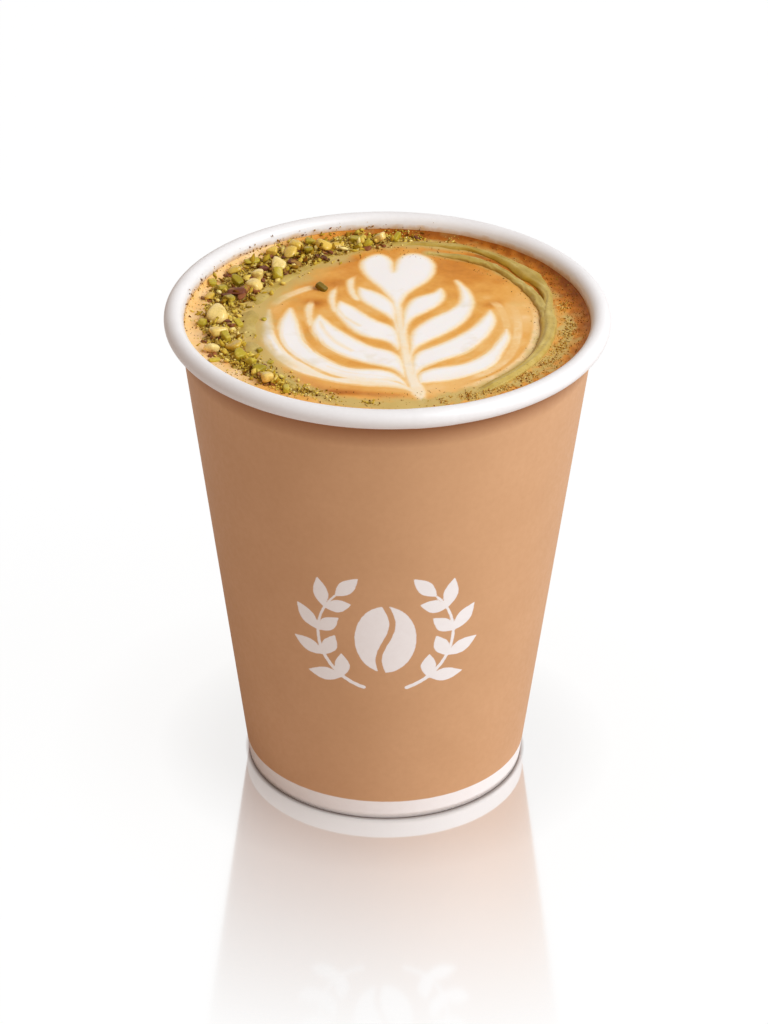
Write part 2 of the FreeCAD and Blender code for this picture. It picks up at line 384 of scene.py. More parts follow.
def leaf_outline(root, tip):
    """Pointed leaf of two curves: both edges leave the root and meet at the tip, half a width
    to either side at the belly."""
    root, tip = np.array(root, float), np.array(tip, float)
    way = tip - root
    side = np.array([-way[1], way[0]]) / np.linalg.norm(way) * leaf_width / 2
    middle = root + way * leaf_belly
    first = smooth_line([root, middle + side, tip], 8)
    return np.vstack([first, smooth_line([tip, middle - side, root], 8)[1:-1]])


def bean_motif(s, h):
    """White motif, as a distance in millimetres that is positive inside: an oval bean with a
    curved groove, and on each side a sprig of leaves in pairs along an arc."""
    s, h = s / motif_scale, h / motif_scale
    bean = (1 - np.hypot(s / 4.1, (h - 0.5) / 5.6)) * 4.1
    groove_h = np.linspace(-5.6, 6.4, 25)
    groove = np.stack([0.9 * np.sin(groove_h * 0.52), groove_h], -1)
    motif = np.minimum(bean, line_distance(s, h, groove)[0] - 0.42)
    for side in (-1, 1):
        turn = np.radians(np.linspace(*sprig_ends, 20))
        arc = np.stack([side * sprig_radius * np.cos(turn), 1.0 + sprig_radius * np.sin(turn)], -1)
        away, share = line_distance(s, h, arc)
        motif = np.maximum(motif, 0.28 - 0.12 * share - away)
        for degrees in sprig_pairs:
            a = math.radians(degrees)
            root = (sprig_radius * math.cos(a), 1.0 + sprig_radius * math.sin(a))
            for lift, length in ((-38, 5.0), (48, 3.9)):
                b = a + math.radians(90 + lift)
                tip = (root[0] + length * math.cos(b), root[1] + length * math.sin(b))
                leaf = leaf_outline((side * root[0], root[1]), (side * tip[0], tip[1]))
                motif = np.maximum(motif, inside_distance(s, h, leaf))
        a = math.radians(sprig_ends[1])
        root = (side * sprig_radius * math.cos(a), 1.0 + sprig_radius * math.sin(a))
        tip = (root[0] - side * 3.2, root[1] + 3.4)
        motif = np.maximum(motif, inside_distance(s, h, leaf_outline(root, tip)))
    return motif * motif_scale


def make_printed_wrap():
    """Sheet carried once round and on over its own start: its outer face is a cone, and over the
    overlap it stands out by one more paper. Rows and columns lie closer where the motif is."""
    mean_r = 31 * mm
    half_turn = motif_half / mean_r
    lap_turn = wrap_lap / mean_r
    start, end = wrap_seam - lap_turn / 2, wrap_seam + 2 * math.pi + lap_turn / 2
    front = 1.5 * math.pi
    end_step = 0.5 * mm / mean_r
    turns = np.concatenate([
        np.linspace(start, front - half_turn, 90, endpoint=False),
        np.linspace(front - half_turn, front + half_turn, 170, endpoint=False),
        np.linspace(front + half_turn, end - lap_turn - 5 * mm / mean_r, 80, endpoint=False),
        np.linspace(end - lap_turn - 5 * mm / mean_r, end - end_step, 24),
        [end],
    ])
    top_up = curl_up - math.sqrt((curl_radius + 0.1 * mm) ** 2 - (curl_inside - wrap_gap - wrap_paper) ** 2)
    low_up = (wrap_foot + (wrap_gap + wrap_paper) * math.sin(lean)) / math.cos(lean)
    middle_up = motif_height / math.cos(lean)
    ups = np.concatenate([
        np.linspace(low_up, middle_up - motif_half * 0.8, 22, endpoint=False),
        np.linspace(middle_up - motif_half * 0.8, middle_up + motif_half * 0.9, 130, endpoint=False),
        np.linspace(middle_up + motif_half * 0.9, top_up, 30),
    ])
    over = rise(turns, end - lap_turn - 4 * mm / mean_r, end - lap_turn) * (wrap_paper + glue_line / 2)
    outer, inner = wrap_gap + wrap_paper + over, wrap_gap + over
    outside = on_slope(ups[:, None], outer[None, :])
    inside = on_slope(ups[::-1, None][::12], inner[None, :])
    section = np.concatenate([outside, inside])
    points = turned(section, turns)
    rows, columns = len(section), len(turns)
    faces = [grid_faces(rows, columns, True)]
    for column, flip in ((0, 1), (columns - 1, -1)):
        edge = (np.arange(rows) * columns + column)[::flip]
        faces.append(np.stack([edge[0] * np.ones(rows - 2, int), edge[1:-1], edge[2:]], -1))
    r = np.hypot(points[:, 0], points[:, 1])
    s = (np.tile(turns, rows) - front) * r / mm
    h = (points[:, 2] - motif_height) / math.cos(lean) / mm
    motif = np.full(len(points), -9.0)
    near = (np.abs(s) < motif_reach[0]) & (np.abs(h) < motif_reach[1])
    near &= np.arange(len(points)) < len(ups) * columns
    motif[near] = bean_motif(s[near], h[near])
    return make_piece("printed_wrap", points, faces, {"motif": motif})


def printed_material():
    """Brown ink on white board. The ink is very slightly mottled and fibrous, with a satin
    sheen; a painted shadow under the rolled rim deepens it to a darker brown towards the top.
    Bare board shows in the band at the foot and in the motif."""
    material, tree, shader, place = new_material(
        "brown printed board", Roughness=0.5, Specular_IOR_Level=0.25)
    fibre = noise_on(tree, place, 900, 3, 0.6)
    mottle = noise_on(tree, place, 90, 3)
    ink = blended(tree, spread(tree, mottle, 0.3, 0.7), shade(209, 158, 114), shade(214, 163, 119))
    ink = blended(tree, spread(tree, fibre, 0.35, 0.75, 0, 0.3), ink, shade(201, 150, 106))
    board = blended(tree, fibre, shade(246, 238, 234), shade(252, 246, 243))
    height = add(tree, "SeparateXYZ", {0: place}).outputs[2]
    uneven = sums(tree, "MULTIPLY", noise_on(tree, place, 600, 2), 0.12 * mm)
    # Painted shadow under the rolled rim: the ink deepens to a darker brown towards the top of the wrap
    ink = blended(tree, spread(tree, height, *painted_rim_shadow), ink, shade(158, 101, 60))
    bare = spread(tree, sums(tree, "ADD", height, uneven), band_top, band_top + 0.16 * mm, 1, 0)
    cut = sums(tree, "ADD", kept_value(tree, "motif"), spread(tree, fibre, 0.3, 0.7, -0.05, 0.05))
    bare = sums(tree, "MAXIMUM", bare, spread(tree, cut, -0.07, 0.07))
    tree.links.new(blended(tree, bare, ink, board), shader.inputs["Base Color"])
    tree.links.new(spread(tree, fibre, 0.3, 0.7, 0.44, 0.56), shader.inputs["Roughness"])
    bump(tree, shader, fibre, 0.01 * mm, 0.4)
    return material


printed_wrap = make_printed_wrap()
printed_wrap.data.materials.append(printed_material())
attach(printed_wrap, "root")
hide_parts("outer_wrap")

# Drink. Coffee under fine milk foam, filled to just under the rim and climbing a little at the
# wall. White milk was poured into the brown foam as a heart over a leaf of swept arcs, with a
# stem drawn through them last. All places on the foam are in millimetres from its middle.
drink_clearance = 0.02 * mm
wall_r = (on_slope((drink_level + meniscus_rise) / math.cos(lean), -paper)[0] - drink_clearance) / mm
meniscus_width = 1.8

heart_left = [(1.1, 20.3), (0.9, 22.5), (0.3, 25.5), (-1.5, 27.2), (-3.5, 26), (-4.7, 23.5),
              (-4.5, 21), (-3.4, 17.8), (-1.8, 15), (-0.3, 12), (1.0, 8.5), (1.2, 6)]
heart_right = [(2.2, 6), (2.4, 8), (2.9, 10.2), (3.8, 12.2), (5.3, 14.2), (7, 16.6), (8.1, 19.3),
               (8.5, 22), (8.2, 24.2), (6.9, 26.4), (5, 27.5), (3, 26.8), (1.9, 24.5), (1.4, 21.5)]
# Each leaf is its upper edge from the stem out to the tip, and its lower edge back again
right_leaves = [
    ([(2.9, -5), (2.9, 1), (3.5, 6), (4.3, 8.5), (5.6, 10.2), (8.5, 12), (9.6, 13.6)],
     [(10.1, 11.5), (9.4, 8), (7, 4.75), (4.3, 1.75), (3.5, -1), (3.1, -6)]),
    ([(4, -13), (4.3, -8), (5.1, -2.2), (7.4, 1.2), (10.5, 4.5), (12.9, 7.6), (13.4, 12), (12.6, 16.8)],
     [(14.2, 14), (15.3, 10), (15, 5), (12.9, -0.3), (9.6, -4.4), (6.3, -7.6), (4.6, -10.4), (4, -14)]),
    ([(4.7, -20), (4.6, -15), (5.4, -11.4), (8.2, -8.8), (12.8, -4.7), (16.4, 0.4), (18.5, 5.2)],
     [(19.2, 2.5), (18.6, -2.2), (16.5, -7), (13.2, -11.4), (8.4, -14.8), (5.7, -17.5), (4.8, -21)]),
    ([(5.8, -22.6), (5.8, -19.2), (8, -17.3), (13, -15.5), (17.3, -11.6), (19.8, -6.4), (21.3, -2)],
     [(21.8, -5), (20.6, -10), (18.8, -15.5), (15.5, -18.7), (10.5, -21.4), (6.3, -22.3)]),
]
left_leaves = [
    ([(1.9, -4.5), (1.4, 1), (1, 7.5), (0, 9.5), (-1.6, 11.5), (-3.4, 12.9), (-5, 13.9)],
     [(-5.2, 12), (-4.7, 9.4), (-3.2, 7), (-0.6, 3.9), (1.2, 1.2), (2.1, -5)]),
    ([(2.1, -9.5), (2, -6), (0.8, -1.5), (-1.7, 0.6), (-4.4, 3.8), (-6.6, 6.6), (-8.5, 8.3)],
     [(-9.2, 4.4), (-8.3, 2), (-6, -2.6), (-3, -5.3), (0.2, -6.9), (1.9, -10)]),
    ([(3.1, -19.5), (2.5, -14.5), (0.8, -11.1), (-2.5, -9.2), (-6, -5.9), (-9, -2.3), (-12.2, 3)],
     [(-13.3, 0), (-12.6, -5), (-10.4, -9.5), (-6.3, -13.3), (-2.5, -15.3), (1, -17), (3.2, -20.5)]),
    ([(3.6, -24), (2.6, -21.2), (0, -18.2), (-5.5, -17.4), (-11.2, -13.3), (-15, -6.5), (-16.3, 1),
      (-17.5, 5.5)],
     [(-18.9, 1), (-19.1, -5), (-17.3, -11), (-13.5, -16), (-8.5, -20), (-3, -21.4), (2, -22), (4, -24.6)]),
    ([(5, -25.5), (1, -21.8), (-5, -20.7), (-9, -20.7), (-13, -17.6), (-17.4, -12.1), (-20.2, -4.5),
      (-21.3, 5)],
     [(-22.5, -3), (-21.3, -10), (-17, -17), (-13, -20), (-8, -22.3), (-2, -23.4), (3.5, -24.7),
      (5.4, -27)]),
]
stem_line = [(1.4, 10), (1.9, 5), (2.7, -5), (3.2, -10), (3.7, -15), (4.3, -20), (5.4, -25), (6.3, -29.4)]
# Thin cream lines: points, half width, and how white they get
cream_lines = [
    ([(-5.2, 19.4), (-6.5, 17), (-6.6, 13.5), (-6.1, 11), (-5.2, 9), (-4.4, 7.6)], 0.35, 0.1),
    ([(-8.8, 15.4), (-9.8, 12), (-9.8, 7), (-9.3, 4.5), (-8.6, 2.5)], 0.3, 0.12),
    ([(-13.4, 10), (-14.1, 5), (-13.7, 0), (-13.2, -3)], 0.35, 0.0),
    ([(-21.4, 4), (-19.4, 9), (-16.5, 12), (-12, 15)], 0.4, -0.2),
    ([(19, 14), (21.6, 9.5), (23.2, 4), (23.4, 0), (23.0, -6), (21.4, -12.4), (18.2, -17.4),
      (13.5, -21), (8, -23)], 0.35, -0.3),
    ([(22.4, 15.6), (25.2, 10), (26.7, 4), (26.7, -3), (25.6, -8.9), (23.4, -14), (20, -19),
      (14, -23.6), (7, -26.4)], 0.4, -0.24),
    ([(17, 11), (19.8, 7.4), (21, 3), (21.4, -1), (21.4, -4)], 0.2, -0.4),
]
# Thin tan lines drawn out within the white: points, and how far they colour it
tan_lines = [
    ([(-9.4, 9), (-9, 6), (-8, 3), (-6.7, 1), (-5, -1)], 0.1),
    ([(-12, 0.5), (-11.2, -3), (-10, -5.7), (-9, -7.5), (-7.5, -9.3), (-6.3, -10.5)], 0.1),
    ([(-10.5, -16.4), (-7, -18.6), (-2, -19.8), (1.5, -20.9)], 0.44),
    ([(-19.3, -13.4), (-16.5, -16.6), (-12, -19.6), (-6, -21.6), (0, -22.3), (3.5, -23.4)], 0.46),
    ([(-21, -7), (-19.7, -11.6), (-16.6, -16)], 0.2),
    ([(2.9, 6), (3.2, 1), (3.6, -6), (4.3, -14)], 0.68),
    ([(1.0, 6), (1.6, 0), (2.0, -8), (2.7, -15)], 0.64),
]
# Spots where the milk is thin and stays cream: place, reach across and along, turn, amount
thin_milk = [
    (-9, -20.5, 12, 3.2, -24, 0.75), (-18, -14, 6, 2.2, -52, 0.7), (10, -22, 9, 2.6, 24, 0.6),
    (20.5, -8, 2.5, 7, -18, 0.3), (-15.5, 0, 1.6, 6, 0, 0.25), (0.5, -24, 7, 2.4, -8, 0.6),
]
# Where fine streaks run along the edges of the milk, in the same order
streaked_milk = [(-14, -12, 13, 9, -45, 0.2), (16, -12, 9, 8, 45, 0.1), (0, -22, 12, 4, 0, 0.12)]
# Broad cream hazes, deeper or paler crema, and cream stains outside the ring, in the same order
milk_hazes = [
    (-15, -20.5, 6, 2.6, -42, 0.45), (11, -25, 8, 2.2, 24, 0.6), (22.4, 2, 2.4, 10, -2, 0.3),
    (-34, 0, 2.6, 14, 0, 0.25), (-26, 24, 9, 3, 42, 0.3), (1, -27.5, 7, 1.2, 0, 0.25),
    (-20.5, 4, 2.2, 6, 0, 0.3), (20, -15, 6, 1.6, 48, 0.35), (-2, -24.6, 9, 1.2, -6, 0.3),
]
crema_tones = [
    (13, 20, 8, 6, -40, 0.3), (10, 24, 6, 4, 0, 0.16), (-6, 24, 5, 5, 0, 0.26), (1, 30, 6, 2.5, 0, 0.2),
    (-11, 15, 5, 5, 40, 0.16), (-13, 8, 2.0, 1.4, 0, 0.5), (-9.5, 15.5, 2, 1.2, 60, 0.22),
    (19, 8, 2.5, 1.2, 50, 0.22), (-4, -26.4, 12, 1.1, -6, 0.55), (-14, -22.3, 6, 1.2, -38, 0.4),
    (33, 16, 6, 9, 20, 0.8), (22, 31, 12, 6, -35, 0.75), (8, 36, 12, 3, -10, 0.75), (30, 25, 8, 4, -45, 0.3),
    (35, 0, 4, 16, 0, 0.4), (31, -16, 5, 12, -30, 0.22), (24, 4, 4, 8, 0, -0.25), (22, -26, 10, 3, 40, 0.2),
    (8, -25, 8, 3, 20, -0.25), (-33, -5, 6, 24, 0, -0.42), (-27, -22, 9, 6, -45, -0.3),
    (-26, 26, 10, 5, 42, -0.45), (16, -9, 5, 4, 0, -0.1),
    (-33, 12, 3, 6, 20, -0.1), (-5, 35, 12, 3, 0, 0.4),
]
cream_stains = [(4, -28.9, 12, 1.2, 2, 0.5), (-16, 21, 8, 4, 40, 0.75)]


def waves(x, y, length, seed):
    """Smooth unevenness between about -1 and 1: the mean of nine plane waves of about this
    length, each in its own direction and with its own start."""
    total = np.zeros(np.shape(x))
    for turn, stretch, start in np.random.default_rng(seed).uniform(0, 1, (9, 3)):
        k = 2 * math.pi / (length * (0.7 + 0.7 * stretch))
        total += np.sin(k * (x * math.cos(6.283 * turn) + y * math.sin(6.283 * turn)) + 6.283 * start)
    return total / 4


def soft_spots(x, y, spots):
    """Sum of turned bell-shaped spots: amount times e to minus the squared reach."""
    total = np.zeros(x.shape)
    for sx, sy, across, along, degrees, amount in spots:
        a = math.radians(degrees)
        u = ((x - sx) * math.cos(a) + (y - sy) * math.sin(a)) / across
        v = ((y - sy) * math.cos(a) - (x - sx) * math.sin(a)) / along
        total += amount * np.exp(-(u**2) - v**2)
    return total


def milk_distance(x, y):
    """How far inside the white milk a place lies, in millimetres: the greatest over the heart,
    the leaves, the stem and the cream lines, drawn down again along the tan lines."""
    milk = inside_distance(x, y, np.vstack([smooth_line(heart_left, 5), smooth_line(heart_right, 5)]))
    for upper, lower in right_leaves + left_leaves:
        outline = np.vstack([smooth_line(upper, 5), smooth_line([upper[-1]] + lower, 5)[1:]])
        milk = np.maximum(milk, inside_distance(x, y, outline))
    for points, cap in tan_lines:
        milk = np.minimum(milk, cap + 1.1 * line_distance(x, y, smooth_line(points, 5))[0])
    away, share = line_distance(x, y, smooth_line(stem_line, 5))
    stem_half = 0.34 + 0.5 * share**2 - 0.8 * rise(share, 0.9, 1)
    milk = np.maximum(milk, np.minimum(stem_half - 0.75 * away, 0.18))
    for points, half, cap in cream_lines:
        away, share = line_distance(x, y, smooth_line(points, 5))
        fading = 1 - rise(share, 0, 0.3) * rise(share, 1, 0.8)
        milk = np.maximum(milk, np.minimum((half - away) * 1.1, cap) - fading)
    streaks = np.sin(6.3 * (1.25 * milk + 0.35 * waves(x, y, 7, 12)))
    return np.minimum(milk + soft_spots(x, y, streaked_milk) * streaks, 1.1 - soft_spots(x, y, thin_milk))


# Middle and width of the poured ring and of its strand at these angles from the right
ring_angles = np.array([0, 9, 17, 24, 31, 38, 46, 54, 62, 72, 85, 105, 120, 150,
                        180, 210, 240, 270, 300, 330])
ring_radii = np.array([28.85, 29.1, 30.3, 31.2, 31.75, 32.0, 32.4, 32.8, 33.1, 32.7, 31.8, 29.2, 27.0, 25.0,
                       24.9, 26.4, 29.2, 30.6, 29.8, 29.1])
ring_width = np.array([2.9, 2.6, 1.7, 2.0, 3.0, 3.8, 2.7, 1.6, 1.4, 1.8, 2.0, 3.0, 3.6, 4.2,
                       4.4, 4.0, 3.0, 2.6, 2.0, 2.3])
strand_angles = np.array([-8, 5, 15, 25, 33, 40, 48, 56, 65, 75])
strand_radii = np.array([28.7, 28.7, 28.65, 28.65, 28.75, 29.0, 29.4, 29.4, 29.1, 28.8])
strand_width = np.array([2.0, 2.4, 2.3, 2.1, 1.8, 1.6, 1.7, 1.8, 1.6, 0.7])
# Ground nut drifted into a band along the wall at the right
band_angles = np.array([-78, -66, -54, -42, -30, -10, 8, 22])
band_radii = np.array([30.6, 30.8, 31.1, 31.4, 31.7, 32.2, 32.3, 32.6])
band_spreads = np.array([0.7, 0.9, 1.1, 1.1, 1.0, 0.9, 0.8, 0.5])


def polar(angles, radii):
    """Points at angles in degrees and radii."""
    a = np.radians(angles)
    return np.stack([radii * np.cos(a), radii * np.sin(a)], -1)


ring_line = smooth_line(polar(ring_angles, ring_radii), 10, closed=True)
strand_line = smooth_line(polar(strand_angles, strand_radii), 10)


def foam_height(x, y):
    """Foam over the level, in millimetres: an arc that climbs at the wall, and faint waves."""
    near = np.clip(np.hypot(x, y) - (wall_r - meniscus_width - 0.1), 0, meniscus_width)
    climb = 1 - np.sqrt(1 - (near / (meniscus_width + 0.35)) ** 2)
    return climb * 1.7 + 0.035 * waves(x, y, 9, 3)


def make_latte_foam():
    """Round top from a square grid drawn into a circle, x = u root(1 - v v / 2) and the same for
    y, with its edge carried down along the wall and closed by the flat bottom on the disc."""
    n = 296
    u, v = np.meshgrid(np.linspace(-1, 1, n), np.linspace(-1, 1, n))
    x, y = wall_r * u * np.sqrt(1 - v**2 / 2), wall_r * v * np.sqrt(1 - u**2 / 2)
    milk = milk_distance(x, y)
    lifted = 0.06 * rise(milk, -0.5, 0.5) * (1 - rise(np.hypot(x, y), 27, 30))
    z = foam_height(x, y) + lifted
    top = np.stack([x * mm, y * mm, drink_level + z * mm], -1).reshape(-1, 3)
    i = np.arange(n - 1)
    edge = np.concatenate([i, i * n + n - 1, n * n - 1 - i, (n - 1 - i) * n])
    floor_z = disc_underside + disc_paper + drink_clearance
    skirt_z = np.array([drink_level * 0.8, drink_level * 0.4, floor_z])
    skirt_r = on_slope(skirt_z / math.cos(lean), -paper)[:, 0] - drink_clearance
    around = np.arctan2(top[edge, 1], top[edge, 0])
    skirt = turned(np.stack([skirt_r, skirt_z], -1)[:, None, :], around)
    points = np.vstack([top, skirt, [[0, 0, floor_z]]])
    loops = np.concatenate([edge, n * n + np.arange(len(skirt))]).reshape(4, -1)
    quads = grid_faces(4, len(edge), False, True)[:, ::-1]
    sides = loops[quads // len(edge), quads % len(edge)]
    last = loops[-1]
    base = np.stack([np.roll(last, -1), last, np.full(len(last), len(points) - 1)], -1)
    ring_away = line_distance(x, y, np.vstack([ring_line, ring_line[:1]]))[0]
    strand_away = line_distance(x, y, strand_line)[0]
    r, around = np.hypot(x, y), np.degrees(np.arctan2(y, x))
    side = rise(np.hypot(x + 22, y - 4), 34, 16)
    reach = 2.5 + 3.0 * side + 0.6 * waves(x, y, 5, 11) + 0.3 * waves(x, y, 2, 13)
    green = np.maximum(1 - ring_away / reach, 0.8 - strand_away / 2.2)
    green = np.maximum(green, soft_spots(x, y, cream_stains))
    # Between the ring and its strand the olive stain gives way to the crema, and the crema there is painted
    # deeper as shade in the narrow channel
    gap = rise(ring_away + strand_away, 4.3, 3.3) * rise(around, 12, 18)
    gap = gap * rise(around, 70, 58) * rise(ring_away, 0.7, 1.2)
    drifted = np.interp(around, band_angles, band_radii, -99, -99)
    band = 0.95 - np.abs(r - drifted) / (2.7 + 0.8 * waves(x, y, 4, 14)) + 0.3 * waves(x, y, 1.8, 15)
    green = np.maximum(green - 0.9 * gap, band * rise(around, 18, -8))
    swirl = waves(r, around / 12, 2.6, 17) * rise(r, 8, 16)
    mottled = 0.13 * waves(x, y, 2.1, 31) * rise(r, 29.5, 33) * rise(x, 0, 16)
    # The share of gap in the tone is painted shade in the channel between the ring and its strand
    tone = 0.5 + soft_spots(x, y, crema_tones) + 0.08 * waves(x, y, 6, 5) + 0.3 * gap
    tone = tone + 0.02 * swirl + mottled
    haze = soft_spots(x, y, milk_hazes) + 0.06 * waves(x, y, 4, 8)
    values = {"milk": milk, "green": green, "tone": tone, "haze": haze}
    rest = len(points) - n * n
    fill = {"milk": -5, "green": 0, "tone": 0.8, "haze": 0}
    kept = {key: np.concatenate([np.ravel(v), np.full(rest, fill[key])]) for key, v in values.items()}
    return make_piece("latte_foam", points, [grid_faces(n, n), sides, base], kept)


def foam_material():
    """Fine milk foam: crema from pale peach to deep orange brown by its tone, milk white inside
    the poured shapes with a cream to peach edge, and an olive stain by the pistachio cream. The
    foam is a little see-through and pricked with tiny bubbles."""
    material, tree, shader, place = new_material(
        "latte foam", Roughness=0.5, Specular_IOR_Level=0.15, Subsurface_Weight=0.12,
        Subsurface_Radius=(1.0, 0.6, 0.35), Subsurface_Scale=0.6 * mm)
    fine = noise_on(tree, place, 900, 3, 0.6)
    cloud = noise_on(tree, place, 170, 3, 0.55)
    tone = stirred(tree, stirred(tree, kept_value(tree, "tone"), cloud, 0.1), fine, 0.06)
    crema = ramp(tree, spread(tree, tone, 0, 1.4), [
        (0.0, 249, 212, 160), (0.2, 240, 188, 112), (0.37, 231, 164, 74),
        (0.54, 215, 138, 48), (0.72, 187, 108, 26), (1.0, 148, 76, 10),
    ])
    edge = stirred(tree, stirred(tree, kept_value(tree, "milk"), cloud, 0.12), fine, 0.1)
    white = ramp(tree, spread(tree, edge, -0.7, 1.0), [
        (0.0, 238, 182, 106), (0.2, 243, 197, 130), (0.38, 249, 218, 170),
        (0.55, 250, 231, 202), (0.78, 249, 238, 225), (1.0, 249, 242, 236),
    ])
    cover = spread(tree, edge, -0.9, -0.3)
    cover = sums(tree, "MAXIMUM", cover, kept_value(tree, "haze"))
    colour = blended(tree, cover, crema, white)
    stain = stirred(tree, kept_value(tree, "green"), cloud, 0.25)
    olive = blended(tree, cloud, shade(190, 158, 82), shade(214, 186, 114))
    colour = blended(tree, spread(tree, stain, 0.1, 0.65, 0, 0.9), colour, olive)
    tree.links.new(colour, shader.inputs["Base Color"])
    bubbles = add(tree, "TexVoronoi", {"Vector": place, "Scale": 2600.0}).outputs["Distance"]
    rough = spread(tree, bubbles, 0.0, 0.5, -0.3, 0)
    bump(tree, shader, sums(tree, "ADD", rough, fine), 0.03 * mm, 0.5)
    return material


latte_foam = make_latte_foam()
latte_foam.data.materials.append(foam_material())
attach(latte_foam, "root")
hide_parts("latte")

# Pistachio cream. Thick green cream poured in a ring on the foam, with a thinner strand that
# leaves it at the right and runs inside it over the far side. It stands a little proud.
ring_height = 0.75
strand_height = 0.68
cream_depth = 0.3


def ribbon(line, widths, height, softness, sunk, closed):
    """Ribbon of rounded section on the level: across it runs by the cosine and up by the sine of
    one turn, raised to a power that makes its edges round or soft, with pour lines along its
    back; it lies sunk into the foam by the given depth. Returns points in metres, faces and how
    far over to the inner side each point lies."""
    way = np.gradient(np.vstack([line[-2:], line, line[:2]]) if closed else line, axis=0)
    way = way[2:-2] if closed else way
    way /= np.linalg.norm(way, axis=1)[:, None]
    inwards = np.stack([-way[:, 1], way[:, 0]], -1)
    turn = np.linspace(0, 2 * math.pi, 28, endpoint=False)
    over, up = np.cos(turn), np.sin(turn)
    along = np.arange(len(line)) / len(line)
    uneven = 1 + 0.07 * np.sin(2 * math.pi * along * 9 + 1) + 0.05 * np.sin(2 * math.pi * along * 23)
    half = (widths / 2 * uneven)[:, None]
    spot = line[:, None, :] + inwards[:, None, :] * (half * over)[..., None]
    drift = np.sin(2 * math.pi * along * 3) + 0.6 * np.sin(2 * math.pi * along * 7 + 2)
    lines = 0.11 * np.sin(7 * over[None, :] + 2.5 * drift[:, None])
    top = height[:, None] * (np.abs(up) ** softness[:, None] + lines * (up > 0.2))
    low = -cream_depth * np.abs(up)
    z = np.where(up >= 0, top, low) - sunk[:, None] + foam_height(spot[..., 0], spot[..., 1])
    points = np.concatenate([spot, z[..., None]], -1)
    rows = len(line)
    faces = [grid_faces(rows, len(turn), closed, True)]
    if not closed:
        for row, flip in ((0, 1), (rows - 1, -1)):
            rim = (row * len(turn) + np.arange(len(turn)))[::flip]
            faces.append(np.stack([np.full(len(turn) - 2, rim[0]), rim[1:-1], rim[2:]], -1))
    points = points.reshape(-1, 3) * mm + np.array([0, 0, drink_level])
    return points, faces, np.tile(over, rows)


def make_cream_ribbon():
    """The ring and its strand in one mesh."""
    around = np.degrees(np.unwrap(np.arctan2(ring_line[:, 1], ring_line[:, 0])))
    widths = np.interp(around, np.append(ring_angles, 360), np.append(ring_width, ring_width[0]))
    right = 0.5 + 0.5 * np.cos(np.radians(around - 10))
    heights = ring_height * (0.35 + 0.65 * right)
    firm = rise(right, 0.35, 0.75)
    broken = waves(ring_line[:, 0], ring_line[:, 1], 6, 27)
    far = rise(around, 46, 64) * rise(around, 130, 90)
    widths = widths * (1 + 0.36 * broken * far) * (0.75 + 0.25 * firm)
    near = rise(around, 232, 250) * rise(around, 312, 300)
    fading = rise(around, 64, 80) * rise(around, 130, 100)
    sunk = (1 - firm) * (0.16 - 0.2 * broken) + 0.12 * far + 0.7 * near + 0.22 * fading
    ring, faces, ring_over = ribbon(ring_line, widths, heights, 2.0 - 1.2 * firm, sunk, True)
    share = np.degrees(np.arctan2(strand_line[:, 1], strand_line[:, 0]))
    thin = np.interp(share, strand_angles, strand_width)
    taper = rise(share, 75, 60) * (1 - 0.45 * rise(np.abs(share - 35), 8, 0))
    lift = strand_height * (0.25 + 0.75 * taper)
    strand, more, strand_over = ribbon(strand_line, thin, lift, np.full(len(lift), 0.9), 0 * lift, False)
    points = np.vstack([ring, strand])
    faces = faces + [f + len(ring) for f in more]
    # The inner side share is kept for the painted shade on the ribbon's inner side in the cream's material
    values = {"inner": np.concatenate([ring_over, strand_over * 0.6])}
    return make_piece("cream_ribbon", points, faces, values)


def cream_material():
    """Pistachio cream: dull yellow green with paler and darker pour streaks, ground nut in it
    and a satin gloss. Its inner side is painted browner as shade, most at the right, where it
    faces away from the lamp."""
    material, tree, shader, place = new_material(
        "pistachio cream", Roughness=0.36, Specular_IOR_Level=0.15, Subsurface_Weight=0.1,
        Subsurface_Radius=(0.8, 0.7, 0.3), Subsurface_Scale=0.5 * mm)
    streak = noise_on(tree, place, 260, 3, 0.6)
    grain = noise_on(tree, place, 2200, 2)
    cream = ramp(tree, streak, [
        (0.3, 177, 146, 64), (0.5, 193, 164, 84), (0.68, 206, 180, 104),
    ])
    cream = blended(tree, spread(tree, grain, 0.62, 0.72, 0, 0.5), cream, shade(140, 110, 40))
    x = add(tree, "SeparateXYZ", {0: place}).outputs[0]
    # Painted shade: the inner side of the ribbon is browner, most at the right, where it faces away from the
    # lamp
    inner = spread(tree, kept_value(tree, "inner"), 0.2, 0.85)
    inner = sums(tree, "MULTIPLY", inner, spread(tree, x, 2 * mm, 22 * mm, 0.1, 0.92))
    tree.links.new(blended(tree, inner, cream, shade(176, 132, 12)), shader.inputs["Base Color"])
    bump(tree, shader, sums(tree, "ADD", streak, sums(tree, "MULTIPLY", grain, 0.3)), 0.08 * mm, 0.6)
    return material


cream_ribbon = make_cream_ribbon()
cream_ribbon.data.materials.append(cream_material())
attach(cream_ribbon, "root")
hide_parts("pistachio_cream")

# Nut bed. The finest part of the chopped pistachios, pressed into the cream as a low uneven
# crescent along the wall. The larger pieces lie on it.
bed_angles = np.array([82, 98, 112, 130, 150, 168, 182, 200, 215, 230, 248])
bed_middle = np.array([33.6, 32.4, 31.2, 30.4, 30.0, 30.0, 30.1, 29.8, 29.4, 29.4, 29.4])
bed_half = np.array([0.5, 2.4, 3.8, 4.6, 4.2, 3.5, 3.1, 2.7, 2.2, 1.6, 0.4])
bed_height = 0.55


def bed_lumps(x, y):
    """Unevenness of the bed, near 1 on its lumps and near nothing in its hollows."""
    return 0.7 + 0.35 * waves(x, y, 1.9, 23) + 0.25 * waves(x, y, 0.8, 24)


